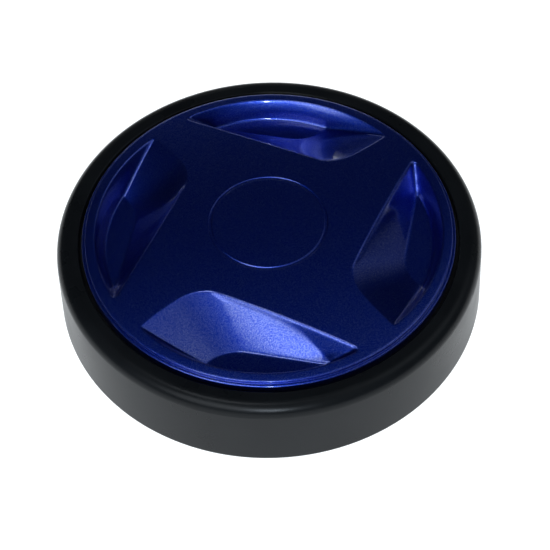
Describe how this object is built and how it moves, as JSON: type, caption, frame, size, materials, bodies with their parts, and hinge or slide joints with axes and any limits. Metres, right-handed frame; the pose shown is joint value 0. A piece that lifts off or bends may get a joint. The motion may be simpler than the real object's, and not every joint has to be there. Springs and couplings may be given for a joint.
{
  "type": "appliance wheel",
  "caption": "Rubber-tyred appliance wheel, lying flat, with a domed lacquered hub cap with swept recesses, a ribbed plastic rim and a stub axle on plain bushes.",
  "frame": {"origin": "on the spin axis, in the plane of the tyre's back face, which is the surface the wheel lies on", "axes": "+Z along the spin axis, from the back face towards the domed hub cap; -Y towards the cap recess that opens nearest the viewer"},
  "size_m": [0.1348, 0.1348, 0.0302],
  "materials": {
    "tyre_rubber": "satin, moulded, slightly greenish black",
    "cap_lacquer": "metallic blue lacquer with fine flake under a clear coat",
    "rim_plastic": "fine moulded grain, black",
    "bush_plastic": "natural white acetal, smooth",
    "axle_steel": "turned, zinc plated",
    "clip_steel": "blackened spring steel"
  },
  "bodies": {
    "axle": {"axle": "axle_steel", "back_washer": "bush_plastic", "front_washer": "axle_steel", "retaining_clip": "clip_steel"},
    "wheel": {"tyre": "tyre_rubber", "wheel_rim": "rim_plastic", "hub_cap": "cap_lacquer", "back_bush": "bush_plastic", "front_bush": "bush_plastic"}
  },
  "joints": [
    {"name": "wheel_spin", "type": "hinge", "parent": "axle", "child": "wheel", "pos_m": [0, 0, 0], "axis": [0, 0, 1], "continuous": true}
  ]
}
